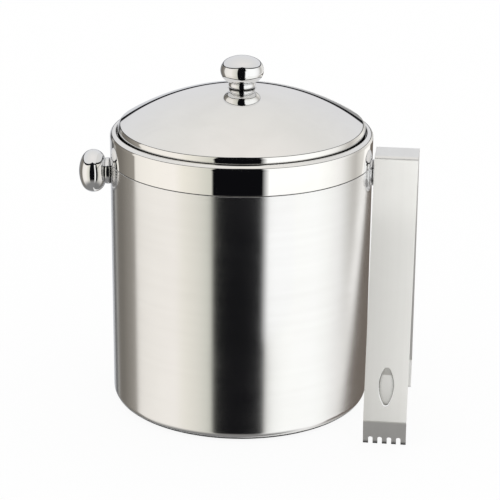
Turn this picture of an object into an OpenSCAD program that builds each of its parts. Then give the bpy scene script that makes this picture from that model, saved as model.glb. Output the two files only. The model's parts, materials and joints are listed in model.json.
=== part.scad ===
// Ice bucket set: a double-walled steel bucket, a domed lid and a pair of spring tongs.
// Millimetres, +Z up. The origin is the centre of the bucket's base, on the surface that it stands on.
// The front is -Y. The tongs stand on their own tips in front of the right-hand knob.

/* [Bucket] */
// Outside diameter of the body
body_d = 150; // [120:1:220]
// Height of the rim above the base
body_h = 161; // [130:1:240]
// Thickness of the steel sheet of bucket and lid
sheet = 0.8; // [0.6:0.1:1]
// Space between the outer shell and the liner
air_gap = 6.9; // [5.5:0.1:14]
// Radius of the rounded corner at the base
base_corner = 5.5; // [3:0.5:10]
// Width of the flat ring that the base stands on
foot_w = 8; // [5:0.5:16]
// Height of the recess inside that ring
base_recess = 2; // [1:0.5:4]

/* [Rim] */
// Height of the polished band at the top of the body
band_h = 16.5; // [14:0.5:30]
// Width of the folded rim
rim_w = 3.9; // [3.4:0.1:5]
// Radius of the tight fold at the rim's inner edge
fold_round = 1.1; // [1:0.1:1.6]
// Depth of the lid's seat below the rim
seat_drop = 4; // [3:0.5:7]
// Length of the shell's edge that is set in behind the band
joggle = 6; // [3:0.5:8]
// Open line between the band and the shell below it
seam = 0.3; // [0.1:0.1:0.8]

/* [Liner] */
// Height of the liner's underside above the surface that the bucket stands on
liner_lift = 10; // [6:0.5:20]
// Radius of the liner's bottom corner, outside
liner_corner = 9; // [4:0.5:20]

/* [Lid] */
// Height of the lid's edge from its foot to the sharp corner of the dome
lid_edge_h = 7.3; // [5:0.1:12]
// Rise of the dome above that corner
dome_rise = 20.8; // [12:0.1:35]
// Radius that rounds the corner
lid_corner = 1.5; // [1.3:0.1:4]
// Depth of the skirt below the lid's seat
skirt_h = 8; // [4:0.5:15]

/* [Knobs] */
// Diameter of a knob's head
head_d = 24.6; // [18:0.1:30]
// Thickness of the head along its axis
head_t = 16.4; // [12:0.1:20]
// Radius of the head's rim in section
head_rim = 7; // [4:0.1:7.8]
// Diameter of the barrel neck at its middle
neck_d = 15.2; // [12:0.1:17]
// How much thinner the neck is at both ends
neck_waist = 0.4; // [0.2:0.1:0.8]
// Length of the neck that shows between foot and head
neck_l = 3.2; // [2:0.1:8]
// Distance of the side knobs' axis below the band
knob_drop = 8.9; // [6:0.1:25]

/* [Fasteners] */
// Diameter of the knob screws
screw_d = 4; // [3:0.5:5]
// Length of screw inside a knob
screw_reach = 7; // [4:0.5:9]
// Diameter of the screw head
screw_head_d = 8; // [6:0.5:9]
// Height of the screw head
screw_head_h = 2.4; // [1.6:0.1:3]
// Diameter of the washer under it
washer_d = 12; // [9.5:0.5:16]
// Thickness of the washer
washer_t = 1; // [0.6:0.1:1.4]

/* [Tongs] */
// Width of the strip
tongs_w = 24; // [20:0.5:32]
// Thickness of the strip
tongs_t = 1; // [0.8:0.1:1.6]
// Height of the tongs as they stand
tongs_h = 158.5; // [130:0.5:200]
// Flat length of the bow, front to rear
bow_flat = 16.5; // [14:0.5:30]
// Outside radius of the two bends
bend_r = 2.5; // [2:0.1:5]
// Angle of each arm from upright
splay = 14; // [8:0.5:16]
// Length of the jaw below its bend
jaw_l = 16.5; // [10:0.5:22]
// Angle that the jaw is bent inwards from the arm
jaw_bend = 33; // [24:1:45]
// Number of notches between the teeth
notches = 4; // [3:1:4]
// Spacing of the notches
notch_pitch = 5.2; // [4.2:0.1:6]
// Width of a notch
notch_w = 2; // [1.2:0.1:3]
// Depth of a notch
notch_h = 3.4; // [2:0.1:6]
// Length of the pressed stop tongue
tongue_l = 22; // [16:0.5:28]
// Width of the pressed stop tongue
tongue_w = 8.6; // [6:0.1:12]
// Distance of the tongue's middle above the jaw's bend
tongue_up = 19; // [16:0.5:40]
// How far the tongue is pressed inwards
tongue_press = 1.6; // [1.2:0.1:3]
// Radius of the tongue's two ends
tongue_end = 2.6; // [1.8:0.1:2.8]
// Slope of the ramp at the tongue's upper end
tongue_slope = 25; // [20:1:35]
// How far the tongue's root runs up into the arm
tongue_root = 0.9; // [0.6:0.1:2]
// Turn of the standing tongs, right side towards the front
tongs_yaw = 7; // [0:0.5:10]

/* [Clearances] */
// Between pieces that are fixed to each other with a lap
lap = 0.05; // [0.02:0.01:0.1]
// Between the lid's edge and the rim, all round
lid_gap = 0.6; // [0.4:0.1:1]
// Between the lid's skirt and the liner, all round
skirt_gap = 0.6; // [0.4:0.1:1.2]
// Between the lid's foot and its seat
seat_gap = 0.3; // [0.2:0.05:0.5]
// Between a screw and the hole that it passes through
hole_gap = 0.2; // [0.1:0.05:0.4]
// Between a screw and its tapped hole
thread_gap = 0.03; // [0.02:0.01:0.05]
// Beyond the screw's end in the tapped hole
hole_spare = 1; // [0.5:0.1:2]
// Between the bow and an arm, where the strip flexes
flex_gap = 0.3; // [0.2:0.05:0.5]
// Cut round the stop tongue
lance_gap = 0.6; // [0.4:0.1:1]
// Between the rear arm and the right-hand knob's head
tongs_knob_gap = 7.5; // [2:0.5:20]
// Between the rear arm and the bucket's wall
tongs_wall_gap = 3.5; // [1:0.5:20]

/* [Hidden] */
$fn = 96;

satin = "#c9c9c6";
polished = "#e2e2e0";
chromed = "#dcdfe3";
zinc = "#b4b7ba";

// Bucket
body_r = body_d / 2;
band_z = body_h - band_h;
shell_top = band_z - seam;
foot_r = body_r - base_corner;
recess_r = foot_r - foot_w;
joggle_r = body_r - sheet - lap;
collar_r = body_r - rim_w;
rim_round = rim_w - fold_round;
rim_z = body_h - rim_round;
seat_z = body_h - seat_drop;
liner_r = body_r - sheet - air_gap;
liner_in_r = liner_r - sheet;
liner_edge_r = collar_r + sheet + lap;
knob_z = band_z - knob_drop;

// Lid
lid_r = collar_r - lid_gap;
lid_z = seat_z + seat_gap;
dome_corner_z = lid_z + lid_edge_h;
dome_top = dome_corner_z + dome_rise;
dome_r = (lid_r * lid_r + dome_rise * dome_rise) / (2 * dome_rise);
dome_z = dome_top - dome_r;
skirt_r = liner_in_r - skirt_gap;

// Fasteners
bore_r = screw_d / 2 + thread_gap;
hole_r = screw_d / 2 + hole_gap;
side_seat = sqrt(pow(body_r - sheet, 2) - pow(washer_d / 2, 2));
lid_seat = dome_z + sqrt(pow(dome_r - sheet, 2) - pow(washer_d / 2, 2));

// Tongs, in their own frame: x across the strip, -y the front arm, z up from the tips
bend_y = bow_flat / 2;
bend_z = tongs_h - bend_r;
bend_mid_r = bend_r - tongs_t / 2;
hinge_y = bend_y + bend_mid_r * cos(splay) + flex_gap / 2 * sin(splay);
hinge_z = bend_z + bend_mid_r * sin(splay) - flex_gap / 2 * cos(splay);
jaw_tilt = jaw_bend - splay;
jaw_drop = jaw_l * cos(jaw_tilt) + tongs_t / 2 * sin(jaw_tilt);
arm_l = (hinge_z - jaw_drop) / cos(splay);
arm_y_at_knob = hinge_y + (hinge_z - knob_z) * tan(splay) + tongs_t / 2 / cos(splay);
tongs_y = -(head_d / 2 + tongs_knob_gap + arm_y_at_knob);
tongs_x = body_r + tongs_wall_gap + tongs_w / 2 * cos(tongs_yaw) + tongs_y * tan(tongs_yaw);
ramp_l = tongue_press / sin(tongue_slope);
ramp_drop = tongue_press / tan(tongue_slope);

// Half section of a solid cup of radius r and height h with a rounded bottom corner
module cup_section(r, h, corner) {
    square([r - corner, h]);
    translate([0, corner])
        square([r, h - corner]);
    intersection() {
        translate([r - corner, corner])
            circle(corner);
        translate([r - corner, 0])
            square(corner);
    }
}

// Half section of a solid dome: a ball of radius ball_r about ball_z, cut off at radius r,
// with its corner rounded and straight sides down to foot_z
module dome_section(r, ball_r, ball_z, corner, foot_z) {
    corner_z = ball_z + sqrt(pow(ball_r - corner, 2) - pow(r - corner, 2));
    touch_r = (r - corner) * ball_r / (ball_r - corner);
    translate([0, foot_z])
        square([r, corner_z - foot_z]);
    intersection() {
        translate([r - corner, corner_z])
            circle(corner);
        translate([r - corner, corner_z])
            square(corner);
    }
    intersection() {
        translate([0, ball_z])
            circle(ball_r);
        translate([0, corner_z])
            square([touch_r, ball_r]);
    }
}

// Radius of the long sides of a four-arc oval
function oval_side(a, b, c) = (pow(a - c, 2) + b * b - c * c) / (2 * (b - c));

// Full section of a four-arc oval: half length a along x, half width b along y, end radius c
module oval(a, b, c) {
    side_r = oval_side(a, b, c);
    touch_x = (a - c) * side_r / (side_r - c);
    intersection() {
        translate([0, b - side_r])
            circle(side_r);
        translate([0, side_r - b])
            circle(side_r);
        square([2 * touch_x, 2 * b], center = true);
    }
    for (side = [-1, 1])
        translate([side * (a - c), 0])
            circle(c);
}

// Places a piece on the side of the bucket, its z axis pointing out from the bucket's axis
module on_side(side) {
    translate([0, 0, knob_z])
        rotate([0, side * 90, 0])
            children();
}

module outer_shell() {
    color(satin)
    difference() {
        rotate_extrude() {
            difference() {
                cup_section(body_r, shell_top, base_corner);
                square([recess_r, base_recess]);
                difference() {
                    translate([0, sheet])
                        cup_section(body_r - sheet, shell_top, base_corner - sheet);
                    square([recess_r + sheet, base_recess + sheet]);
                }
            }
            translate([joggle_r - sheet, shell_top - sheet])
                square([body_r - joggle_r + sheet, sheet]);
            translate([joggle_r - sheet, shell_top - sheet])
                square([sheet, joggle + seam + sheet]);
        }
        for (side = [-1, 1])
            on_side(side)
                cylinder(r = hole_r, h = body_r + sheet);
    }
}

module inner_liner() {
    color(satin)
    rotate_extrude() {
        difference() {
            translate([0, liner_lift])
                cup_section(liner_r, seat_z - liner_lift, liner_corner);
            translate([0, liner_lift + sheet])
                cup_section(liner_in_r, seat_z - liner_lift, liner_corner - sheet);
        }
        translate([liner_in_r, seat_z - sheet])
            square([liner_edge_r + sheet - liner_in_r, sheet]);
        translate([liner_edge_r, seat_z - sheet])
            square([sheet, rim_z - lap - seat_z + sheet]);
    }
}

// Section of one fold of the rim about its centre: a quarter ring of sheet, up and out
module rim_fold(r) {
    intersection() {
        difference() {
            circle(r);
            circle(r - sheet);
        }
        square(r);
    }
}

module rim_collar() {
    color(polished)
    rotate_extrude() {
        translate([body_r - sheet, band_z])
            square([sheet, rim_z - band_z]);
        translate([collar_r, seat_z])
            square([sheet, body_h - fold_round - seat_z]);
        translate([collar_r + fold_round, rim_z])
            rim_fold(rim_round);
        translate([collar_r + fold_round, body_h - fold_round])
            mirror([1, 0])
                rim_fold(fold_round);
    }
}

// One knob with its foot at z = 0: barrel neck, flattened ball head, tapped hole
module knob() {
    neck_end_r = neck_d / 2 - neck_waist;
    barrel_r = (neck_l * neck_l / 4 + neck_waist * neck_waist) / (2 * neck_waist);
    side_r = oval_side(head_d / 2, head_t / 2, head_rim);
    head_z = neck_l + sqrt(side_r * side_r - neck_end_r * neck_end_r) - side_r + head_t / 2;
    color(chromed)
    difference() {
        rotate_extrude() {
            square([neck_end_r, head_z]);
            intersection() {
                translate([neck_d / 2 - barrel_r, neck_l / 2])
                    circle(barrel_r);
                square([neck_d, neck_l]);
            }
            translate([0, head_z])
                intersection() {
                    oval(head_d / 2, head_t / 2, head_rim);
                    translate([0, -head_t / 2])
                        square([head_d / 2, head_t]);
                }
        }
        translate([0, 0, -hole_spare])
            cylinder(r = bore_r, h = screw_reach + 2 * hole_spare);
    }
}

// One screw, its head's seat at z = 0 and its shank up to z = reach
module screw(reach) {
    color(zinc) {
        translate([0, 0, -screw_head_h])
            cylinder(d = screw_head_d, h = screw_head_h);
        cylinder(d = screw_d, h = reach);
    }
}

// One washer with its upper face at z = 0
module washer() {
    color(zinc)
    translate([0, 0, -washer_t])
        difference() {
            cylinder(d = washer_d, h = washer_t);
            translate([0, 0, -washer_t])
                cylinder(r = hole_r, h = 3 * washer_t);
        }
}

module side_knob(side) {
    on_side(side)
        translate([0, 0, body_r])
            knob();
}

module side_screw(side) {
    on_side(side)
        translate([0, 0, side_seat - washer_t])
            screw(body_r + screw_reach - side_seat + washer_t);
}

module side_washer(side) {
    on_side(side)
        translate([0, 0, side_seat])
            washer();
}

module left_knob() { side_knob(-1); }
module right_knob() { side_knob(1); }
module left_knob_screw() { side_screw(-1); }
module right_knob_screw() { side_screw(1); }
module left_knob_washer() { side_washer(-1); }
module right_knob_washer() { side_washer(1); }

module lid_dome() {
    color(polished)
    difference() {
        rotate_extrude()
            difference() {
                dome_section(lid_r, dome_r, dome_z, lid_corner, lid_z);
                dome_section(lid_r - sheet, dome_r - sheet, dome_z, lid_corner - sheet, lid_z - sheet);
            }
        cylinder(r = hole_r, h = dome_top + sheet);
    }
}

module lid_skirt() {
    color(satin)
    rotate_extrude() {
        translate([skirt_r - sheet, lid_z])
            square([lid_r - sheet - lap - skirt_r + sheet, sheet]);
        translate([skirt_r - sheet, seat_z - skirt_h])
            square([sheet, skirt_h + seat_gap + sheet]);
    }
}

module lid_knob() {
    translate([0, 0, dome_top])
        knob();
}

module lid_knob_screw() {
    translate([0, 0, lid_seat - washer_t])
        screw(dome_top + screw_reach - lid_seat + washer_t);
}

module lid_knob_washer() {
    translate([0, 0, lid_seat])
        washer();
}

// Turns a section drawn as (front to rear, up) into a strip of the tongs' width
module across_strip() {
    rotate([90, 0, 90])
        linear_extrude(tongs_w, center = true)
            children();
}

// Stands the tongs in front of the right-hand knob
module place_tongs() {
    translate([tongs_x, tongs_y, 0])
        rotate([0, 0, -tongs_yaw])
            children();
}

module tongs_bow() {
    color(satin)
    place_tongs()
        across_strip() {
            translate([-bend_y, tongs_h - tongs_t])
                square([bow_flat, tongs_t]);
            for (side = [0, 1])
                mirror([side, 0])
                    translate([bend_y, bend_z])
                        intersection() {
                            difference() {
                                circle(bend_r);
                                circle(bend_r - tongs_t);
                            }
                            polygon([
                                [0, 0],
                                [2 * bend_r * cos(splay), 2 * bend_r * sin(splay)],
                                [2 * bend_r, 2 * bend_r],
                                [0, 2 * bend_r]
                            ]);
                        }
        }
}

// Outline of a stop tongue of a given length, long way up, narrowed on both sides by gap
module tongue_outline(length, gap) {
    rotate(90)
        oval(length / 2, tongue_w / 2 - gap, tongue_end - gap / 2);
}

// A plate of the strip's thickness from its outline, drawn as (across, up)
module plate() {
    rotate([90, 0, 0])
        linear_extrude(tongs_t, center = true)
            children();
}

// The pressed stop tongue: a ramp in from its upper end, then a flat leaf
module stop_tongue() {
    ramp_top = tongue_l / 2 - lance_gap;
    intersection() {
        rotate([90, 0, 0])
            linear_extrude(4 * tongue_press, center = true)
                translate([0, (lance_gap + tongue_root) / 2])
                    tongue_outline(tongue_l + tongue_root - lance_gap, lance_gap);
        union() {
            translate([0, 0, ramp_top])
                rotate([tongue_slope, 0, 0])
                    translate([0, 0, -ramp_l / 2])
                        cube([tongue_w, tongs_t, ramp_l + tongs_t], center = true);
            translate([-tongue_w / 2, tongue_press - tongs_t / 2, -tongue_l])
                cube([tongue_w, tongs_t, tongue_l + ramp_top - ramp_drop]);
            translate([-tongue_w / 2, -tongs_t / 2, ramp_top - lance_gap / 2])
                cube([tongue_w, tongs_t, tongue_l]);
        }
    }
}

// The toothed jaw, hanging from its bend at the origin
module jaw() {
    difference() {
        plate()
            translate([-tongs_w / 2, -jaw_l])
                square([tongs_w, jaw_l]);
        for (i = [0 : notches - 1])
            translate([(i - (notches - 1) / 2) * notch_pitch, 0, -jaw_l])
                rotate([90, 0, 0])
                    linear_extrude(3 * tongs_t, center = true) {
                        translate([-notch_w / 2, -notch_h])
                            square([notch_w, 2 * notch_h - notch_w / 2]);
                        translate([0, notch_h - notch_w / 2])
                            circle(d = notch_w);
                    }
    }
}

// One arm, hanging straight down from its flex line at the origin, outer face to -y
module arm() {
    color(satin) {
        difference() {
            plate()
                translate([-tongs_w / 2, -arm_l])
                    square([tongs_w, arm_l - flex_gap / 2]);
            translate([0, 0, tongue_up - arm_l])
                rotate([90, 0, 0])
                    linear_extrude(3 * tongs_t, center = true)
                        tongue_outline(tongue_l, 0);
        }
        translate([0, 0, tongue_up - arm_l])
            stop_tongue();
        translate([0, 0, -arm_l]) {
            rotate([0, 90, 0])
                cylinder(d = tongs_t, h = tongs_w, center = true);
            rotate([jaw_bend, 0, 0])
                jaw();
        }
    }
}

module placed_arm() {
    translate([0, -hinge_y, hinge_z])
        rotate([-splay, 0, 0])
            arm();
}

module tongs_front_arm() {
    place_tongs()
        placed_arm();
}

module tongs_rear_arm() {
    place_tongs()
        mirror([0, 1, 0])
            placed_arm();
}

outer_shell();
inner_liner();
rim_collar();
left_knob();
right_knob();
left_knob_screw();
right_knob_screw();
left_knob_washer();
right_knob_washer();
lid_dome();
lid_skirt();
lid_knob();
lid_knob_screw();
lid_knob_washer();
tongs_bow();
tongs_front_arm();
tongs_rear_arm();
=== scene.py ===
import json
import math

import bmesh
import bpy
from mathutils import Matrix, Vector


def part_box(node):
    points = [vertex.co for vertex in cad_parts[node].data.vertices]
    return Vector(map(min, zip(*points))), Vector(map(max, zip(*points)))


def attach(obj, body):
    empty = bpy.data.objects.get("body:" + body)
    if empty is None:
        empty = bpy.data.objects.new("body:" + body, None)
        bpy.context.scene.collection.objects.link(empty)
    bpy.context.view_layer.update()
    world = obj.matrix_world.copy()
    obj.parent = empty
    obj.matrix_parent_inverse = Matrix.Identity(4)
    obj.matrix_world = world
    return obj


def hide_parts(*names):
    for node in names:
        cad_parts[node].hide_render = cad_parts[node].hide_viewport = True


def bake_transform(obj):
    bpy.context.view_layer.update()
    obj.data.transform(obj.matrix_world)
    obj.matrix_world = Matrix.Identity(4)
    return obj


# The frame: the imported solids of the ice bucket, at their real size in metres, with +Z up.
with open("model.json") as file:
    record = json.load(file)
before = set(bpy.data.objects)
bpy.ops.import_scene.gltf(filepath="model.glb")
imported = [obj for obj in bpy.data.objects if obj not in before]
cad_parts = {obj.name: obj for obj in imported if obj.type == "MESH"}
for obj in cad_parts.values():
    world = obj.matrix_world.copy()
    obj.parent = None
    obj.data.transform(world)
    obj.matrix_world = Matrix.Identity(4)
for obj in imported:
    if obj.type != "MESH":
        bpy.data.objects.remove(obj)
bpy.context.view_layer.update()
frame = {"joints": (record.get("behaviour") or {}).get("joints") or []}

# Outer shell
# A deep-drawn steel cup with a rounded base corner and a base that is pressed up inside its foot ring.
# Its satin is turned on a belt, so the fine lines run round it. The top edge is set in behind the rim band.
shell_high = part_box("outer_shell")[1]
band_low, rim_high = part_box("rim_collar")
sheet = 0.0008
body_r = shell_high.x
base_corner = 0.0055
foot_width = 0.008
base_recess = 0.002
press_round = 0.0007
seam = 0.0003
lap = 0.00005
cut_round = 0.0002
weld_distance = 1e-7
recess_r = body_r - base_corner - foot_width
shell_top = band_low.z - seam
joggle_r = body_r - sheet - lap


def rounded(corners, steps=8):
    """Points of the outline through corners (radius, height, rounding), with an arc at each rounding."""
    points = []
    for i, (r, z, rounding) in enumerate(corners):
        here = Vector((r, z))
        if not rounding:
            points.append(here)
            continue
        back = (Vector(corners[i - 1][:2]) - here).normalized()
        onward = (Vector(corners[(i + 1) % len(corners)][:2]) - here).normalized()
        half = back.angle(onward) / 2
        middle = here + (back + onward).normalized() * rounding / math.sin(half)
        start = here + back * rounding / math.tan(half) - middle
        turn = math.copysign(math.pi - 2 * half, back.y * onward.x - back.x * onward.y)
        points += [middle + Matrix.Rotation(turn * k / steps, 2) @ start for k in range(steps + 1)]
    return points


def finish_mesh(name, bm, smooth_below=40):
    """Merges doubles, turns the faces outwards, and smooths all but the sharp edges, flat faces first."""
    bmesh.ops.remove_doubles(bm, verts=bm.verts, dist=weld_distance)
    bmesh.ops.recalc_face_normals(bm, faces=bm.faces)
    mesh = bpy.data.meshes.new(name)
    bm.to_mesh(mesh)
    bm.free()
    mesh.shade_smooth()
    mesh.set_sharp_from_angle(angle=math.radians(smooth_below))
    piece = bpy.data.objects.new(name, mesh)
    bpy.context.scene.collection.objects.link(piece)
    flat_first = piece.modifiers.new("flat_first", "WEIGHTED_NORMAL")
    flat_first.keep_sharp = True
    flat_first.weight = 80
    depsgraph = bpy.context.evaluated_depsgraph_get()
    weighted = bpy.data.meshes.new_from_object(piece.evaluated_get(depsgraph))
    piece.modifiers.clear()
    piece.data = weighted
    weighted.name = name
    return piece


def spin(name, outline, place=Matrix(), around=256):
    """A piece of spun metal: an outline of (radius, height) turned about Z and put in its place."""
    bm = bmesh.new()
    rings = []
    for step in range(around):
        angle = 2 * math.pi * step / around
        across = Vector((math.cos(angle), math.sin(angle), 0))
        rings.append([bm.verts.new(place @ (across * p.x + Vector((0, 0, p.y)))) for p in outline])
    closed = outline[0].x > 0
    for ring, following in zip(rings, rings[1:] + rings[:1]):
        for i in range(0 if closed else 1, len(outline)):
            bm.faces.new((ring[i - 1], following[i - 1], following[i], ring[i]))
    return finish_mesh(name, bm)


def put(tree, kind, inputs=None, **settings):
    """Adds a node to a tree, sets it up, and feeds its inputs with values or with other nodes' outputs."""
    made = tree.nodes.new(kind)
    for setting, value in settings.items():
        setattr(made, setting, value)
    for socket, value in (inputs or {}).items():
        if isinstance(value, bpy.types.NodeSocket):
            tree.links.new(value, made.inputs[socket])
        else:
            made.inputs[socket].default_value = value
    return made


def sum_up(tree, operation, *values):
    """The output of a Math node."""
    return put(tree, "ShaderNodeMath", dict(enumerate(values)), operation=operation).outputs[0]


def mix(tree, share, first, second):
    """The first colour at a share of 0, the second at 1. A Mix node's colours are its sockets 6 and 7."""
    return put(tree, "ShaderNodeMix", {0: share, 6: first, 7: second}, data_type="RGBA").outputs[2]


def shader_group(name, inputs, outputs):
    """An empty shader node group with named inputs (name, kind, default) and outputs (name, kind)."""
    group = bpy.data.node_groups.new(name, "ShaderNodeTree")
    for socket, kind, default in inputs:
        made = group.interface.new_socket(socket, in_out="INPUT", socket_type=kind)
        if default is not None:
            made.default_value = default
    for socket, kind in outputs:
        group.interface.new_socket(socket, in_out="OUTPUT", socket_type=kind)
    return group, put(group, "NodeGroupInput").outputs, put(group, "NodeGroupOutput").inputs


def belt_lines_group():
    """Fine lines that a belt or a roll leaves in steel, all one way, with broader bands among them."""
    group, given, out = shader_group(
        "belt_lines",
        [("Place", "NodeSocketVector", None), ("Along", "NodeSocketVector", None)],
        [("Lines", "NodeSocketFloat"), ("Bands", "NodeSocketFloat")],
    )
    stretched = put(
        group, "ShaderNodeVectorMath", {0: given["Place"], 1: given["Along"]}, operation="MULTIPLY"
    ).outputs[0]
    fine = put(group, "ShaderNodeTexNoise", {"Vector": stretched, "Scale": 2600.0, "Detail": 3.0})
    broad = put(group, "ShaderNodeTexNoise", {"Vector": stretched, "Scale": 420.0, "Detail": 2.0})
    group.links.new(fine.outputs["Fac"], out["Lines"])
    group.links.new(broad.outputs["Fac"], out["Bands"])
    return group


def wiped_haze_group():
    """The uneven haze that wiping and handling leave on bare metal, in patches of a few centimetres."""
    group, given, out = shader_group(
        "wiped_haze",
        [("Place", "NodeSocketVector", None), ("Patches", "NodeSocketFloat", 30.0)],
        [("Haze", "NodeSocketFloat")],
    )
    patches = put(group, "ShaderNodeTexNoise", {
        "Vector": given["Place"], "Scale": given["Patches"], "Detail": 4.0, "Distortion": 0.6
    })
    soft = put(group, "ShaderNodeMapRange", {
        "Value": patches.outputs["Fac"], "From Min": 0.35, "From Max": 0.7
    }, interpolation_type="SMOOTHSTEP")
    group.links.new(soft.outputs[0], out["Haze"])
    return group


def painted_gap_shade_group():
    """Painted shade: how deep in a narrow gap a point lies, from 0 in the open to 1 where hardly any light
    gets in.
    """
    group, given, out = shader_group(
        "painted_gap_shade",
        [("Reach", "NodeSocketFloat", 0.003), ("Starts At", "NodeSocketFloat", 0.7)],
        [("Painted Shade", "NodeSocketFloat")],
    )
    fade = 0.35
    around = put(group, "ShaderNodeAmbientOcclusion", {"Distance": given["Reach"]}, samples=8)
    closed_in = sum_up(group, "SUBTRACT", given["Starts At"], fade)
    depth = put(group, "ShaderNodeMapRange", {
        "Value": around.outputs["AO"], "From Min": given["Starts At"], "From Max": closed_in
    })
    group.links.new(depth.outputs[0], out["Painted Shade"])
    return group


belt_lines = belt_lines_group()
wiped_haze = wiped_haze_group()
painted_gap_shade = painted_gap_shade_group()
# Painted shade: the near-black that colours are darkened to deep in narrow gaps.
painted_shade_black = (0.02, 0.02, 0.02, 1)


def bare_metal(name):
    """A new material of bare metal, with its node tree and its shader."""
    material = bpy.data.materials.new(name)
    material.use_nodes = True
    metal = material.node_tree.nodes["Principled BSDF"]
    metal.inputs["Metallic"].default_value = 1
    return material, material.node_tree, metal


def give_finish(tree, metal, colour, roughness, height, depth):
    """Gives a metal its colour, its roughness and the height and depth of its relief."""
    relief = put(tree, "ShaderNodeBump", {"Height": height, "Distance": depth, "Strength": 1.0})
    tree.links.new(colour, metal.inputs["Base Color"])
    tree.links.new(roughness, metal.inputs["Roughness"])
    tree.links.new(relief.outputs["Normal"], metal.inputs["Normal"])


def lined_steel(
    name, bright, dull, roughness, along, depth, attribute=None, shade_reach=0.001, shade_start=0.58
):
    """Satin steel: lines one way in colour, roughness and relief, a faint haze, and painted shade in narrow
    gaps.
    """
    band_dulls, haze_dulls = 0.5, 0.2
    even, lined, hazed = 0.75, 0.35, 0.15
    material, tree, metal = bare_metal(name)
    if attribute:
        place = put(tree, "ShaderNodeAttribute", attribute_name=attribute).outputs["Vector"]
    else:
        place = put(tree, "ShaderNodeTexCoord").outputs["Object"]
    lines = put(tree, "ShaderNodeGroup", {"Place": place, "Along": along}, node_tree=belt_lines).outputs
    haze = put(tree, "ShaderNodeGroup", {"Place": place}, node_tree=wiped_haze).outputs["Haze"]
    gap = put(tree, "ShaderNodeGroup", {"Reach": shade_reach, "Starts At": shade_start}, node_tree=painted_gap_shade)
    worn = sum_up(tree, "MULTIPLY", haze, haze_dulls)
    worn = sum_up(tree, "MULTIPLY_ADD", lines["Bands"], band_dulls, worn)
    colour = mix(tree, worn, (*bright, 1), (*dull, 1))
    # Painted shade: the colour darkens to near-black deep in narrow gaps, where shade falls.
    colour = mix(tree, gap.outputs["Painted Shade"], colour, painted_shade_black)
    spread = sum_up(tree, "MULTIPLY_ADD", lines["Lines"], roughness * lined, roughness * even)
    spread = sum_up(tree, "MULTIPLY_ADD", haze, roughness * hazed, spread)
    give_finish(tree, metal, colour, spread, lines["Lines"], depth)
    return material


round_the_axis = (0.012, 0.012, 1)
satin_steel = lined_steel(
    "satin_steel", bright=(0.885, 0.888, 0.89), dull=(0.82, 0.82, 0.815), roughness=0.16,
    along=round_the_axis, depth=0.000004,
)
outer_shell = spin(
    "satin_shell",
    rounded([
        (0, base_recess, 0),
        (recess_r, base_recess, press_round),
        (recess_r, 0, press_round),
        (body_r, 0, base_corner),
        (body_r, shell_top, seam),
        (joggle_r, shell_top, cut_round),
        (joggle_r, shell_high.z, cut_round),
        (joggle_r - sheet, shell_high.z, cut_round),
        (joggle_r - sheet, shell_top - sheet, cut_round),
        (body_r - sheet, shell_top - sheet, cut_round),
        (body_r - sheet, sheet, base_corner - sheet),
        (recess_r + sheet, sheet, press_round),
        (recess_r + sheet, base_recess + sheet, press_round),
        (0, base_recess + sheet, 0),
    ]),
)
outer_shell.data.materials.append(satin_steel)
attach(outer_shell, "bucket")
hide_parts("outer_shell")

# Inner liner
# The drawn steel cup that holds the ice. Its edge is turned out into the ledge that the lid sits on
# and up behind the rim band, so that only the cup and the ledge show when the lid is off.
liner_low, liner_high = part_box("inner_liner")
dome_low, dome_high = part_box("lid_dome")
seat_gap = 0.0003
seat_z = dome_low.z - seat_gap
air_gap = 0.0069
liner_corner = 0.009
ledge_round = 0.0006
liner_r = body_r - sheet - air_gap
liner_steel = lined_steel(
    "liner_steel", bright=(0.9, 0.895, 0.885), dull=(0.82, 0.815, 0.805), roughness=0.26,
    along=round_the_axis, depth=0.000006,
)
inner_liner = spin(
    "ice_liner",
    rounded([
        (0, liner_low.z, 0),
        (liner_r, liner_low.z, liner_corner),
        (liner_r, seat_z - sheet, ledge_round),
        (liner_high.x, seat_z - sheet, ledge_round),
        (liner_high.x, liner_high.z, cut_round),
        (liner_high.x - sheet, liner_high.z, cut_round),
        (liner_high.x - sheet, seat_z, cut_round),
        (liner_r - sheet, seat_z, ledge_round),
        (liner_r - sheet, liner_low.z + sheet, liner_corner - sheet),
        (0, liner_low.z + sheet, 0),
    ]),
)
inner_liner.data.materials.append(liner_steel)
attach(inner_liner, "bucket")
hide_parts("inner_liner")

# Rim band
# A polished ring of folded sheet that grips the edges of shell and liner. Its fold makes the round rim,
# and a hair-wide open line is left between its lower edge and the satin shell.
rim_width = 0.0039
fold_round = 0.0011
rim_round = rim_width - fold_round
collar_r = body_r - rim_width


def polish_marks_group():
    """Hair-fine scratches from the polishing wheel, and the slow waviness of drawn sheet."""
    group, given, out = shader_group(
        "polish_marks",
        [("Place", "NodeSocketVector", None)],
        [("Scratches", "NodeSocketFloat"), ("Waves", "NodeSocketFloat")],
    )
    wheel_way = (0.08, 0.08, 1)
    stretched = put(
        group, "ShaderNodeVectorMath", {0: given["Place"], 1: wheel_way}, operation="MULTIPLY"
    ).outputs[0]
    hairs = put(group, "ShaderNodeTexNoise", {"Vector": stretched, "Scale": 1800.0, "Detail": 4.0})
    scratches = put(group, "ShaderNodeMapRange", {
        "Value": hairs.outputs["Fac"], "From Min": 0.6, "From Max": 0.8
    })
    waves = put(group, "ShaderNodeTexNoise", {"Vector": given["Place"], "Scale": 22.0, "Detail": 1.0})
    group.links.new(scratches.outputs[0], out["Scratches"])
    group.links.new(waves.outputs["Fac"], out["Waves"])
    return group


polish_marks = polish_marks_group()


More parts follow.
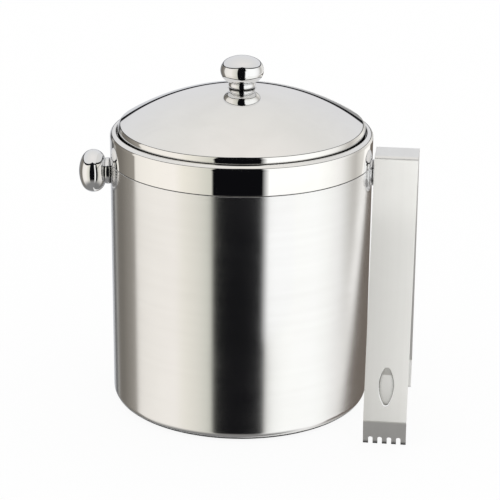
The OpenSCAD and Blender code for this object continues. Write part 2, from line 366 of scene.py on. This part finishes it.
def polished(name, bright, dull, roughness, waviness):
    """Mirror polish: a clear reflection with hair scratches, a faint haze, slow waves and painted shade in
    gaps.
    """
    even, hazed = 0.6, 0.5
    material, tree, metal = bare_metal(name)
    place = put(tree, "ShaderNodeTexCoord").outputs["Object"]
    marks = put(tree, "ShaderNodeGroup", {"Place": place}, node_tree=polish_marks).outputs
    haze = put(tree, "ShaderNodeGroup", {"Place": place}, node_tree=wiped_haze).outputs["Haze"]
    gap = put(tree, "ShaderNodeGroup", node_tree=painted_gap_shade)
    colour = mix(tree, haze, (*bright, 1), (*dull, 1))
    # Painted shade: the colour darkens to near-black deep in narrow gaps, where shade falls.
    colour = mix(tree, gap.outputs["Painted Shade"], colour, painted_shade_black)
    spread = sum_up(tree, "MULTIPLY_ADD", haze, roughness * hazed, roughness * even)
    spread = sum_up(tree, "MULTIPLY_ADD", marks["Scratches"], roughness, spread)
    give_finish(tree, metal, colour, spread, marks["Waves"], waviness)
    return material


polished_steel = polished(
    "polished_steel", bright=(0.93, 0.925, 0.91), dull=(0.89, 0.885, 0.87), roughness=0.04, waviness=0.00002
)
rim_collar = spin(
    "rim_band",
    rounded([
        (body_r, band_low.z, seam),
        (body_r, rim_high.z, rim_round),
        (collar_r, rim_high.z, fold_round),
        (collar_r, seat_z, cut_round),
        (collar_r + sheet, seat_z, cut_round),
        (collar_r + sheet, rim_high.z - sheet, fold_round - sheet),
        (body_r - sheet, rim_high.z - sheet, rim_round - sheet),
        (body_r - sheet, band_low.z, cut_round),
    ], steps=12),
)
rim_collar.data.materials.append(polished_steel)
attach(rim_collar, "bucket")
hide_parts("rim_collar")

# Knobs
# Solid turned knobs, chromed: a barrel-shaped neck and a flattened ball for a head.
# Two are screwed to the sides of the shell and one to the lid, each by a screw into its foot.
head_d = 0.0246
head_t = 0.0164
head_rim = 0.007
neck_d = 0.0152
neck_waist = 0.0004
neck_l = 0.0032
foot_round = 0.0003


def arc(middle, radius, start, end, steps):
    """Points of an arc about a point (radius, height), from one angle to another in degrees."""
    angles = [math.radians(start + (end - start) * k / steps) for k in range(steps + 1)]
    return [Vector((middle[0] + radius * math.cos(a), middle[1] + radius * math.sin(a))) for a in angles]


def knob_outline():
    """Half section of a knob that stands on its foot: barrel neck, underside, rim and crown of the head."""
    neck_end = neck_d / 2 - neck_waist
    barrel_r = (neck_l**2 / 4 + neck_waist**2) / (2 * neck_waist)
    barrel_half = math.degrees(math.asin(neck_l / 2 / barrel_r))
    half_d, half_t = head_d / 2, head_t / 2
    crown_r = ((half_d - head_rim) ** 2 + half_t**2 - head_rim**2) / (2 * (half_t - head_rim))
    crown_edge = math.degrees(math.asin((half_d - head_rim) / (crown_r - head_rim)))
    under_z = neck_l + math.sqrt(crown_r**2 - neck_end**2)
    head_z = under_z - crown_r + half_t
    neck_at = math.degrees(math.asin(neck_end / crown_r))
    return (
        [Vector((0, 0)), Vector((neck_end - foot_round, 0))]
        + arc((neck_d / 2 - barrel_r, neck_l / 2), barrel_r, -barrel_half, barrel_half, steps=12)
        + arc((0, under_z), crown_r, neck_at - 90, crown_edge - 90, steps=8)
        + arc((half_d - head_rim, head_z), head_rim, crown_edge - 90, 90 - crown_edge, steps=32)[1:]
        + arc((0, head_z - crown_r + half_t), crown_r, 90 - crown_edge, 90, steps=16)[1:]
    )


chromed = polished(
    "bright_chrome", bright=(0.9, 0.905, 0.915), dull=(0.86, 0.865, 0.88), roughness=0.03, waviness=0.000004
)


def knob(node, body, place):
    """One chromed knob in its place, on its body, instead of its solid."""
    piece = spin(node + "_turned", knob_outline(), place, around=96)
    piece.data.materials.append(chromed)
    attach(piece, body)
    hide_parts(node)


for side, node in ((-1, "left_knob"), (1, "right_knob")):
    low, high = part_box(node)
    on_wall = Matrix.Translation((side * body_r, 0, (low.z + high.z) / 2))
    knob(node, "bucket", on_wall @ Matrix.Rotation(side * math.pi / 2, 4, "Y"))

# Lid dome
# A spun dome of polished sheet with a rounded edge that drops to the ledge inside the rim.
# It lies loose in its seat and is lifted off by its knob.
lid_r = dome_high.x
dome_rise = 0.0208
lid_corner = 0.0035
dome_r = (lid_r**2 + dome_rise**2) / (2 * dome_rise)
dome_middle = dome_high.z - dome_r


def dome_outline(inset):
    """The dome's section from its crown to the round of its edge, on its outside or an inset inside it."""
    r, ball, corner = lid_r - inset, dome_r - inset, lid_corner - inset
    corner_z = dome_middle + math.sqrt((ball - corner) ** 2 - (r - corner) ** 2)
    meet = math.degrees(math.atan2(corner_z - dome_middle, r - corner))
    crown = arc((0, dome_middle), ball, 90, meet, steps=64)
    edge = arc((r - corner, corner_z), corner, meet, 0, steps=16)
    return [Vector((0, crown[0].y))] + crown[1:] + edge[1:]


lid_dome = spin(
    "domed_lid",
    dome_outline(0)
    + rounded([
        (lid_r, dome_low.z + sheet, 0),
        (lid_r, dome_low.z, cut_round),
        (lid_r - sheet, dome_low.z, cut_round),
        (lid_r - sheet, dome_low.z + sheet, 0),
    ])
    + dome_outline(sheet)[::-1],
)
lid_dome.data.materials.append(polished_steel)
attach(lid_dome, "lid")
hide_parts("lid_dome")

# Lid skirt
# A ring of plain drawn sheet that centres the lid in the liner.
# It is fixed by its flange inside the edge of the dome.
skirt_low, skirt_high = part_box("lid_skirt")
skirt_clearance = 0.0006
skirt_r = liner_r - sheet - skirt_clearance
lid_skirt = spin(
    "lid_skirt_ring",
    rounded([
        (skirt_r - sheet, skirt_low.z, cut_round),
        (skirt_r, skirt_low.z, cut_round),
        (skirt_r, dome_low.z, ledge_round),
        (skirt_high.x, dome_low.z, cut_round),
        (skirt_high.x, skirt_high.z, cut_round),
        (skirt_r - sheet, skirt_high.z, ledge_round),
    ]),
)
lid_skirt.data.materials.append(liner_steel)
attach(lid_skirt, "lid")
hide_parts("lid_skirt")

# Lid knob
# The same chromed knob again, standing on the crown of the dome,
# where a screw from below holds it.
knob("lid_knob", "lid", Matrix.Translation((0, 0, dome_high.z)))

# Knob screws and washers
# Zinc-plated steel: a screw with a cross in its flat head, over a washer that spreads its pull.
# One pair sits behind each side knob, between the walls, and one under the dome of the lid.
screw_d = 0.004
screw_head_d = 0.008
screw_head_h = 0.0024
washer_d = 0.012
washer_t = 0.001
washer_hole = 0.0044
plated_edge = 0.0002
cross_l = 0.0046
cross_w = 0.0011


def cut_sheet(outlines, thickness, edge):
    """A mesh of flat sheet about z = 0, cut along outlines with holes, with its edges a little rounded."""
    curve = bpy.data.curves.new("cut_sheet", "CURVE")
    curve.dimensions = "2D"
    curve.fill_mode = "BOTH"
    curve.extrude = thickness / 2 - edge
    curve.bevel_depth = edge
    curve.bevel_resolution = 2
    curve.offset = -edge
    for outline in outlines:
        spline = curve.splines.new("POLY")
        spline.points.add(len(outline) - 1)
        spline.use_cyclic_u = True
        for point, spot in zip(spline.points, outline):
            point.co = (spot.x, spot.y, 0, 1)
    holder = bpy.data.objects.new("cut_sheet", curve)
    bpy.context.scene.collection.objects.link(holder)
    mesh = bpy.data.meshes.new_from_object(holder.evaluated_get(bpy.context.evaluated_depsgraph_get()))
    bpy.data.objects.remove(holder)
    return mesh


def fastener(name, reach):
    """One screw through its washer, pointing up, with the washer's upper face at height 0."""
    half_l, half_w = cross_l / 2, cross_w / 2
    quarter = [Vector((half_l, -half_w)), Vector((half_l, half_w)), Vector((half_w, half_w))]
    cross = [Matrix.Rotation(turn * math.pi / 2, 2) @ corner for turn in range(4) for corner in quarter]
    disc = arc((0, 0), screw_head_d / 2, 0, 360, steps=48)[:-1]
    head = cut_sheet([disc, cross], screw_head_h, plated_edge)
    head.transform(Matrix.Translation((0, 0, -washer_t - screw_head_h / 2)))
    shank = spin("shank", rounded([
        (0, -washer_t, 0),
        (screw_d / 2, -washer_t, 0),
        (screw_d / 2, reach, plated_edge),
        (0, reach, 0),
    ]), around=32)
    washer = spin("washer", rounded([
        (washer_hole / 2, -washer_t, plated_edge),
        (washer_d / 2, -washer_t, plated_edge),
        (washer_d / 2, 0, plated_edge),
        (washer_hole / 2, 0, plated_edge),
    ]), around=48)
    bm = bmesh.new()
    for mesh in (head, shank.data, washer.data):
        bm.from_mesh(mesh)
    for turned in (shank, washer):
        bpy.data.objects.remove(turned)
    return finish_mesh(name, bm)


def ring_of_copies_tree():
    """Copies of a piece round the Z axis, each at a height and a distance from it, leaning outwards."""
    tree = bpy.data.node_groups.new("ring_of_copies", "GeometryNodeTree")
    keys = {}
    for name, kind in (
        ("Piece", "Geometry"),
        ("Copies", "Int"),
        ("From Axis", "Float"),
        ("Height", "Float"),
        ("Lean", "Float"),
        ("Material", "Material"),
    ):
        made = tree.interface.new_socket(name, in_out="INPUT", socket_type="NodeSocket" + kind)
        keys[name] = made.identifier
    tree.interface.new_socket("Ring", in_out="OUTPUT", socket_type="NodeSocketGeometry")
    given = put(tree, "NodeGroupInput").outputs
    index = put(tree, "GeometryNodeInputIndex").outputs[0]
    turn = sum_up(tree, "DIVIDE", sum_up(tree, "MULTIPLY", index, 2 * math.pi), given["Copies"])
    spot = put(tree, "ShaderNodeCombineXYZ", {
        0: sum_up(tree, "MULTIPLY", given["From Axis"], sum_up(tree, "COSINE", turn)),
        1: sum_up(tree, "MULTIPLY", given["From Axis"], sum_up(tree, "SINE", turn)),
        2: given["Height"],
    })
    angles = put(tree, "ShaderNodeCombineXYZ", {1: given["Lean"], 2: turn})
    facing = put(tree, "FunctionNodeEulerToRotation", {0: angles.outputs[0]})
    points = put(tree, "GeometryNodePoints", {"Count": given["Copies"], "Position": spot.outputs[0]})
    copies = put(tree, "GeometryNodeInstanceOnPoints", {
        "Points": points.outputs[0], "Instance": given["Piece"], "Rotation": facing.outputs[0]
    })
    solid = put(tree, "GeometryNodeRealizeInstances", {"Geometry": copies.outputs[0]})
    coated = put(tree, "GeometryNodeSetMaterial", {
        "Geometry": solid.outputs[0], "Material": given["Material"]
    })
    put(tree, "NodeGroupOutput", {"Ring": coated.outputs[0]})
    return tree, keys


ring_of_copies, ring_keys = ring_of_copies_tree()
zinc_plate = lined_steel(
    "zinc_plate", bright=(0.74, 0.75, 0.77), dull=(0.58, 0.59, 0.61), roughness=0.34,
    along=(1, 1, 1), depth=0.000004,
)


def fasteners(name, body, replaced, reach, copies, from_axis, height, lean):
    """Screws with their washers, in a ring or one on the axis, on their body instead of their solids."""
    piece = fastener(name, reach)
    ring = piece.modifiers.new("ring", "NODES")
    ring.node_group = ring_of_copies
    ring[ring_keys["Copies"]] = copies
    ring[ring_keys["From Axis"]] = from_axis
    ring[ring_keys["Height"]] = height
    ring[ring_keys["Lean"]] = lean
    ring[ring_keys["Material"]] = zinc_plate
    mesh = bpy.data.meshes.new_from_object(piece.evaluated_get(bpy.context.evaluated_depsgraph_get()))
    piece.modifiers.clear()
    piece.data = mesh
    mesh.name = name
    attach(piece, body)
    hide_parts(*replaced)


wall_washer_low, wall_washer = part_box("right_knob_washer")
wall_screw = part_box("right_knob_screw")[1]
fasteners(
    "wall_fasteners", "bucket",
    ("left_knob_screw", "right_knob_screw", "left_knob_washer", "right_knob_washer"),
    reach=wall_screw.x - wall_washer.x,
    copies=2,
    from_axis=wall_washer.x,
    height=(wall_washer_low.z + wall_washer.z) / 2,
    lean=math.pi / 2,
)
dome_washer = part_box("lid_knob_washer")[1]
dome_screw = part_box("lid_knob_screw")[1]
fasteners(
    "dome_fastener", "lid",
    ("lid_knob_screw", "lid_knob_washer"),
    reach=dome_screw.z - dome_washer.z,
    copies=1,
    from_axis=0.0,
    height=dome_washer.z,
    lean=0.0,
)

# Tongs
# One strip of spring steel, bent over a flat bow into two arms that splay apart. Each arm has a pressed-in
# stop tongue above its jaw, and the jaw is bent inwards and notched into teeth.
joints = {joint["name"]: joint for joint in frame["joints"]}
front_hinge = Vector(joints["front_arm_squeeze"]["pos_m"])
rear_hinge = Vector(joints["rear_arm_squeeze"]["pos_m"])
across = Vector(joints["front_arm_squeeze"]["axis"])
rearward = (rear_hinge - front_hinge).normalized()
tongs_foot = (front_hinge + rear_hinge) / 2 * Vector((1, 1, 0))
bow_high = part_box("tongs_bow")[1]
strip_w = 0.024
strip_t = 0.001
strip_edge = 0.00015
bow_flat = 0.0165
bow_bend = 0.002
splay = math.radians(14)
jaw_bend = math.radians(33)
jaw_l = 0.0165
jaw_round = 0.0015
notches = 4
notch_pitch = 0.0052
notch_w = 0.0025
notch_h = 0.005
tongue_l = 0.022
tongue_w = 0.0086
tongue_end = 0.0018
tongue_up = 0.0196
tongue_press = 0.0016
tongue_root = 0.0009
tongue_ramp = 0.0044
tongue_edge = 0.00045
tongue_root_share = 0.03
tongue_tip_share = 1.0
flex_gap = 0.0003
flex_zone = 0.014
spare = 0.002

jaw_tilt = jaw_bend - splay
jaw_drop = jaw_l * math.cos(jaw_tilt) + strip_t / 2 * math.sin(jaw_tilt)
jaw_tangent = jaw_round * math.tan(jaw_bend / 2)
arm_l = (front_hinge.z - jaw_drop) / math.cos(splay) + flex_gap / 2
bends = [
    (bow_flat / 2, 0),
    (bow_bend * (math.pi / 2 - splay), math.pi / 2 - splay),
    (arm_l - jaw_tangent, 0),
    (jaw_round * jaw_bend, jaw_bend),
    (jaw_l - jaw_tangent, 0),
]
strip_l = sum(length for length, turn in bends)
arm_start = bends[0][0] + bends[1][0]
jaw_start = arm_start + bends[2][0]
tongue_at = arm_start + arm_l - tongue_up
root_at = tongue_at - tongue_l / 2


def along_strip(run, lift):
    """Where a point of the half strip goes, as (outwards, up), from its run down the strip and its lift."""
    spot, heading = Vector((0, bow_high.z - strip_t / 2)), 0
    for length, turn in bends:
        step = min(run, length)
        part = turn * step / length
        if turn:
            r = length / turn
            move = Vector((r * math.sin(part), r * math.cos(part) - r))
        else:
            move = Vector((step, 0))
        spot = spot + Matrix.Rotation(-heading, 2) @ move
        heading += part
        run -= step
        if run <= 0:
            break
    return spot + Vector((math.sin(heading), math.cos(heading))) * lift


def oval(half_l, half_w, end_r, shift, steps=20):
    """A four-arc oval in the strip's plane, as points (across, run), moved up the strip by a shift."""
    side_r = ((half_l - end_r) ** 2 + half_w**2 - end_r**2) / (2 * (half_w - end_r))
    edge = math.degrees(math.asin((half_l - end_r) / (side_r - end_r)))
    middle = tongue_at - shift
    points = arc((half_w - side_r, middle), side_r, -edge, edge, steps)
    points += arc((0, middle + half_l - end_r), end_r, edge, 180 - edge, steps)[1:]
    points += arc((side_r - half_w, middle), side_r, 180 - edge, 180 + edge, steps)[1:]
    points += arc((0, middle - half_l + end_r), end_r, 180 + edge, 360 - edge, steps)[1:-1]
    return points


opening = oval(tongue_l / 2, tongue_w / 2, tongue_end, 0)
tongue = oval(
    (tongue_l + tongue_root - lap) / 2, tongue_w / 2 - lap, tongue_end - lap, (lap + tongue_root) / 2
)

blank = [Vector((-strip_w / 2, -spare)), Vector((strip_w / 2, -spare)), Vector((strip_w / 2, strip_l))]
for i in range(notches):
    notch_x = ((notches - 1) / 2 - i) * notch_pitch
    blank.append(Vector((notch_x + notch_w / 2, strip_l)))
    blank += arc((notch_x, strip_l - notch_h + notch_w / 2), notch_w / 2, 0, -180, steps=12)
    blank.append(Vector((notch_x - notch_w / 2, strip_l)))
blank.append(Vector((-strip_w / 2, strip_l)))


def rows(start, end, pitch):
    """Evenly spaced runs from start to end, no further apart than the pitch."""
    count = math.ceil((end - start) / pitch)
    return [start + (end - start) * k / count for k in range(count + 1)]


fold_rows = (
    rows(bends[0][0], arm_start, pitch=0.0002)
    + rows(arm_start, arm_start + flex_zone, pitch=0.001)[1:]
    + rows(root_at, root_at + tongue_ramp, pitch=0.0003)
    + rows(jaw_start, jaw_start + bends[3][0], pitch=0.00008)
)

# Painted shade reaches further on the tongs and draws the dark outline round each pressed-in tongue.
tongs_steel = lined_steel(
    "tongs_steel", bright=(0.93, 0.93, 0.92), dull=(0.85, 0.85, 0.84), roughness=0.42,
    along=(1, 0.012, 1), depth=0.000006, attribute="strip", shade_reach=0.0035, shade_start=0.8,
)
rolled = tongs_steel.node_tree
rolled_metal = rolled.nodes["Principled BSDF"]
rolled_metal.inputs["Anisotropic"].default_value = 0.8
grain = put(rolled, "ShaderNodeCombineXYZ", dict(enumerate(across)))
rolled.links.new(grain.outputs[0], rolled_metal.inputs["Tangent"])


def half_strip(name, way):
    """Half of the strip, from the middle of the bow to the teeth of one arm, folded, with its tongue."""
    half = bmesh.new()
    for outlines, edge, press in (([blank, opening], strip_edge, 0), ([tongue], tongue_edge, tongue_press)):
        bm = bmesh.new()
        bm.from_mesh(cut_sheet(outlines, strip_t, edge))
        bmesh.ops.remove_doubles(bm, verts=bm.verts, dist=weld_distance)
        cut = bmesh.ops.bisect_plane(
            bm, geom=bm.verts[:] + bm.edges[:] + bm.faces[:],
            plane_co=(0, 0, 0), plane_no=(0, 1, 0), clear_inner=True,
        )
        rim = [side for side in cut["geom_cut"] if isinstance(side, bmesh.types.BMEdge)]
        bmesh.ops.holes_fill(bm, edges=rim, sides=0)
        for run in fold_rows:
            geometry = bm.verts[:] + bm.edges[:] + bm.faces[:]
            bmesh.ops.bisect_plane(bm, geom=geometry, plane_co=(0, run, 0), plane_no=(0, 1, 0))
        strip = bm.verts.layers.float_vector.new("strip")
        for vert in bm.verts:
            x, run, lift = vert.co
            vert[strip] = vert.co
            pressed_in = min(max((run - root_at) / tongue_ramp, tongue_root_share), 1)
            tipped = max((run - root_at - tongue_ramp) / (tongue_l - tongue_ramp), 0)
            out, up = along_strip(run, lift - press * (pressed_in + tongue_tip_share * tipped))
            vert.co = tongs_foot + across * x + rearward * way * out + Vector((0, 0, up))
        mesh = bpy.data.meshes.new(name)
        bm.to_mesh(mesh)
        bm.free()
        half.from_mesh(mesh)
    piece = finish_mesh(name, half, smooth_below=35)
    piece.data.materials.append(tongs_steel)
    return piece


def flex_line(way):
    """The two ends of the stretch over which the strip flexes: the bow's flat and the top of the arm."""
    for run in (bow_flat / 2, arm_start + flex_zone):
        out, up = along_strip(run, 0)
        yield tongs_foot + rearward * way * out + Vector((0, 0, up))


front_half = half_strip("tongs_front_half", -1)
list(flex_line(-1))
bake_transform(front_half)
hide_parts("tongs_bow", "tongs_front_arm")
rear_half = half_strip("tongs_rear_half", 1)
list(flex_line(1))
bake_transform(rear_half)
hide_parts("tongs_rear_arm")

# The other pieces don't mirror the tongs: the studio's stand gives the strip and wedge they would show.
front_half.visible_glossy = rear_half.visible_glossy = False

# Floor
# A plain white table top that takes the set's soft shadow. The metal mirrors the studio instead of it.
# Only a small disc of the same table under the bucket shows in the shine of the base corner.
floor_drop = 0.0002
floor_r = 12
base_disc_inset = 0.001
table_colour = (0.98, 0.98, 0.98, 1)
plain_white = (1, 1, 1, 1)
plain_share = 0.9

table_white = bpy.data.materials.new("table_white")
table_white.use_nodes = True
table = table_white.node_tree
table.nodes.clear()
shaded = put(table, "ShaderNodeBsdfDiffuse", {"Color": table_colour})
plain = put(table, "ShaderNodeEmission", {"Color": plain_white})
camera_sees = put(table, "ShaderNodeLightPath").outputs["Is Camera Ray"]
seen_plain = sum_up(table, "MULTIPLY", camera_sees, plain_share)
mixed = put(table, "ShaderNodeMixShader", {0: seen_plain, 1: shaded.outputs[0], 2: plain.outputs[0]})
put(table, "ShaderNodeOutputMaterial", {"Surface": mixed.outputs[0]})


def flat_disc(name, radius, z):
    """A round piece of the table top."""
    bm = bmesh.new()
    bmesh.ops.create_circle(bm, cap_ends=True, segments=96, radius=radius)
    bmesh.ops.translate(bm, verts=bm.verts, vec=(0, 0, z))
    mesh = bpy.data.meshes.new(name)
    bm.to_mesh(mesh)
    bm.free()
    disc = bpy.data.objects.new(name, mesh)
    bpy.context.scene.collection.objects.link(disc)
    mesh.materials.append(table_white)
    return disc


floor = flat_disc("floor", floor_r, -floor_drop)
floor.visible_glossy = False
flat_disc("floor_under_base", body_r - base_disc_inset, -2 * floor_drop)

# Studio
# Soft panels stand round the table, the left ones a little warm, with a black card in front and a dark
# stand with a light edge at the right. A dark line along their top parts them from the pale ceiling.
# Mirrors alone see all this. The background and the light on the table are plain white.
panel_stops = [
    (-180, (0.66, 0.67, 0.70)),
    (-161, (0.62, 0.63, 0.66)),
    (-154, (0.10, 0.10, 0.10)),
    (-150, (0.10, 0.10, 0.10)),
    (-145, (0.44, 0.43, 0.41)),
    (-140, (0.18, 0.165, 0.145)),
    (-129, (0.185, 0.17, 0.15)),
    (-116, (0.27, 0.25, 0.22)),
    (-106.8, (0.32, 0.297, 0.268)),
    (-104.8, (0.855, 0.82, 0.767)),
    (-97.6, (0.91, 0.872, 0.816)),
    (-80, (0.965, 0.925, 0.865)),
    (-60, (0.985, 0.94, 0.885)),
    (-51, (0.90, 0.865, 0.78)),
    (-39, (0.807, 0.78, 0.705)),
    (-28, (0.68, 0.675, 0.60)),
    (-15, (0.60, 0.58, 0.55)),
    (15, (0.60, 0.58, 0.55)),
    (30, (1.05, 1.05, 1.02)),
    (40, (1.12, 1.12, 1.09)),
    (68, (1.12, 1.12, 1.10)),
    (82, (1.06, 1.06, 1.03)),
    (90, (1.0, 0.99, 0.97)),
    (97, (0.92, 0.91, 0.89)),
    (106, (0.72, 0.71, 0.68)),
    (113, (0.58, 0.56, 0.53)),
    (118, (0.55, 0.53, 0.50)),
    (128, (0.72, 0.70, 0.66)),
    (144, (0.90, 0.88, 0.84)),
    (158, (0.60, 0.59, 0.57)),
    (170, (0.30, 0.30, 0.30)),
    (180, (0.66, 0.67, 0.70)),
]
ceiling_stops = [
    (-10, (0.72, 0.72, 0.75)),
    (20, (0.76, 0.76, 0.77)),
    (50, (0.80, 0.79, 0.77)),
    (83, (0.87, 0.84, 0.81)),
]
card_left, card_right, card_soft = -24.8, 21.7, 2.5
card_foot, card_foot_soft = -45, 30
card_black = (0.004, 0.004, 0.005, 1)
floor_shine = (0.24, 0.235, 0.23, 1)
floor_bright = (0.85, 0.84, 0.82, 1)
bright_from, bright_soft = 64, 25
stand_edge, stand_slope, stand_width, stand_soft = 241, 5.5, 16, 4
stand_from, stand_from_soft = 90, 8
stand_light = (1.08, 1.06, 1.03, 1)
stand_brown = (0.165, 0.14, 0.12, 1)
edge_front, edge_fall, edge_lean = 57, 0.324, 1.0
edge_width, edge_soft = 4.2, 1
front_widening, front_end, front_soft = 1.2, 90, 50
edge_black = (0.01, 0.01, 0.012, 1)

world = bpy.data.worlds.new("studio")
bpy.context.scene.world = world
world.use_nodes = True
sky = world.node_tree
sky.nodes.clear()
way = put(sky, "ShaderNodeSeparateXYZ", {0: put(sky, "ShaderNodeTexCoord").outputs["Generated"]}).outputs
forward = sum_up(sky, "MULTIPLY", way["Y"], -1.0)
azimuth = sum_up(sky, "DEGREES", sum_up(sky, "ARCTAN2", way["X"], forward))
height = sum_up(sky, "DEGREES", sum_up(sky, "ARCSINE", way["Z"]))


def ramp(value, stops, low, high):
    """A colour ramp over degrees, from a few stops."""
    share = put(sky, "ShaderNodeMapRange", {"Value": value, "From Min": low, "From Max": high}).outputs[0]
    made = put(sky, "ShaderNodeValToRGB", {0: share})
    elements = made.color_ramp.elements
    while len(elements) < len(stops):
        elements.new(1)
    for element, (degrees, colour) in zip(elements, stops):
        element.position = (degrees - low) / (high - low)
        element.color = (*colour, 1)
    return made.outputs[0]


def step(value, at, soft):
    """0 below an angle and 1 above it, with a soft edge."""
    return put(sky, "ShaderNodeMapRange", {
        "Value": value, "From Min": at - soft / 2, "From Max": at + soft / 2
    }, interpolation_type="SMOOTHSTEP").outputs[0]


def between(value, start, end, soft):
    """1 between two angles and 0 outside them, with soft edges."""
    return sum_up(sky, "SUBTRACT", step(value, start, soft), step(value, end, soft))


panels = ramp(azimuth, panel_stops, low=-180, high=180)
ceiling = ramp(height, ceiling_stops, low=-20, high=90)
beside = sum_up(sky, "SUBTRACT", azimuth, stand_edge)
beside = sum_up(sky, "MULTIPLY_ADD", height, -stand_slope, beside)
to_the_right = step(azimuth, stand_from, stand_from_soft)
for start, colour in ((-stand_width, stand_light), (0, stand_brown)):
    on_stand = sum_up(sky, "MULTIPLY", step(beside, start, stand_soft), to_the_right)
    panels = mix(sky, on_stand, panels, colour)
above_foot = step(height, card_foot, card_foot_soft)
low_floor = mix(sky, step(azimuth, bright_from, bright_soft), floor_shine, floor_bright)
low_part = mix(sky, above_foot, low_floor, panels)
on_card = sum_up(sky, "MULTIPLY", between(azimuth, card_left, card_right, card_soft), above_foot)
low_part = mix(sky, on_card, low_part, card_black)
to_the_side = sum_up(sky, "ABSOLUTE", azimuth)
sideways = sum_up(sky, "SINE", sum_up(sky, "RADIANS", azimuth))
panel_edge = sum_up(sky, "MULTIPLY_ADD", to_the_side, -edge_fall, edge_front)
panel_edge = sum_up(sky, "MULTIPLY_ADD", sideways, edge_lean, panel_edge)
above_edge = sum_up(sky, "SUBTRACT", height, panel_edge)
studio = mix(sky, step(above_edge, 0, edge_soft), low_part, ceiling)
behind = step(to_the_side, front_end, front_soft)
widening = sum_up(sky, "MULTIPLY_ADD", behind, -front_widening, 1 + front_widening)
from_edge = sum_up(sky, "DIVIDE", above_edge, widening)
studio = mix(sky, between(from_edge, -edge_width / 2, edge_width / 2, edge_soft), studio, edge_black)
mirrored = put(sky, "ShaderNodeLightPath").outputs["Is Glossy Ray"]
seen = mix(sky, mirrored, plain_white, studio)
light = put(sky, "ShaderNodeBackground", {"Color": seen, "Strength": 1.0})
put(sky, "ShaderNodeOutputWorld", {"Surface": light.outputs[0]})

# Reflectors
# Two upright white boards in front of the tongs, which only mirrors see. The large one fades to its left.
# The small one stands nearer, lights the tongs alone, and adds to what is behind it.
board_colour = (1, 1, 0.99, 1)
board_strength = 1.1


def board_white(name, see_through):
    """A board's white, as bright as its shine attribute says. If see-through, it adds to what is behind."""
    material = bpy.data.materials.new(name)
    material.use_nodes = True
    tree = material.node_tree
    tree.nodes.clear()
    shine = put(tree, "ShaderNodeAttribute", attribute_name="shine").outputs["Fac"]
    strength = sum_up(tree, "MULTIPLY", shine, board_strength)
    surface = put(tree, "ShaderNodeEmission", {"Color": board_colour, "Strength": strength}).outputs[0]
    if see_through:
        clear = put(tree, "ShaderNodeBsdfTransparent").outputs[0]
        surface = put(tree, "ShaderNodeAddShader", {0: surface, 1: clear}).outputs[0]
    put(tree, "ShaderNodeOutputMaterial", {"Surface": surface})
    return material


def reflector(name, y, foot, top, columns, see_through=False):
    """An upright board with a shine of its own at each of its columns, given as (x, shine)."""
    bm = bmesh.new()
    shine = bm.verts.layers.float.new("shine")
    edges = []
    for x, bright in columns:
        edges.append([bm.verts.new((x, y, z)) for z in (foot, top)])
        for corner in edges[-1]:
            corner[shine] = bright
    for (low, high), (next_low, next_high) in zip(edges, edges[1:]):
        bm.faces.new((low, next_low, next_high, high))
    mesh = bpy.data.meshes.new(name)
    bm.to_mesh(mesh)
    bm.free()
    mesh.materials.append(board_white(name + "_white", see_through))
    board = bpy.data.objects.new(name, mesh)
    bpy.context.scene.collection.objects.link(board)
    board.visible_camera = board.visible_diffuse = board.visible_shadow = False
    return board


reflector("reflector", y=-0.2, foot=0.005, top=0.27, columns=((0.051, 0), (0.0713, 1), (0.17, 1)))
tongs_reflector = reflector(
    "tongs_reflector", y=-0.13, foot=0.14, top=0.25, columns=((0.053, 0.5), (0.085, 0.5)), see_through=True
)
lit_by_it = bpy.data.collections.new("lit_by_tongs_reflector")
lit_by_it.objects.link(front_half)
lit_by_it.objects.link(rear_half)
tongs_reflector.light_linking.receiver_collection = lit_by_it

# Camera
# A long lens a metre away, looking down at the bucket from a little above its lid, with a slight tilt.
camera_distance = 1.0456
camera_height = math.radians(19.632)
camera_tilt = math.radians(0.5056)
stands_over = Vector((0, 0, 0.0877))
looks_at = stands_over + Vector((0.00535, 0, 0))
away = Vector((0, -math.cos(camera_height), math.sin(camera_height)))
camera = bpy.data.objects.new("camera", bpy.data.cameras.new("camera"))
bpy.context.scene.collection.objects.link(camera)
camera.data.sensor_width = 36
camera.data.lens = 128.97
camera.location = stands_over + camera_distance * away
facing = (looks_at - camera.location).to_track_quat("-Z", "Y").to_matrix().to_4x4()
camera.rotation_euler = (facing @ Matrix.Rotation(camera_tilt, 4, "Z")).to_euler()
bpy.context.scene.camera = camera
bpy.context.scene.view_settings.view_transform = "Standard"
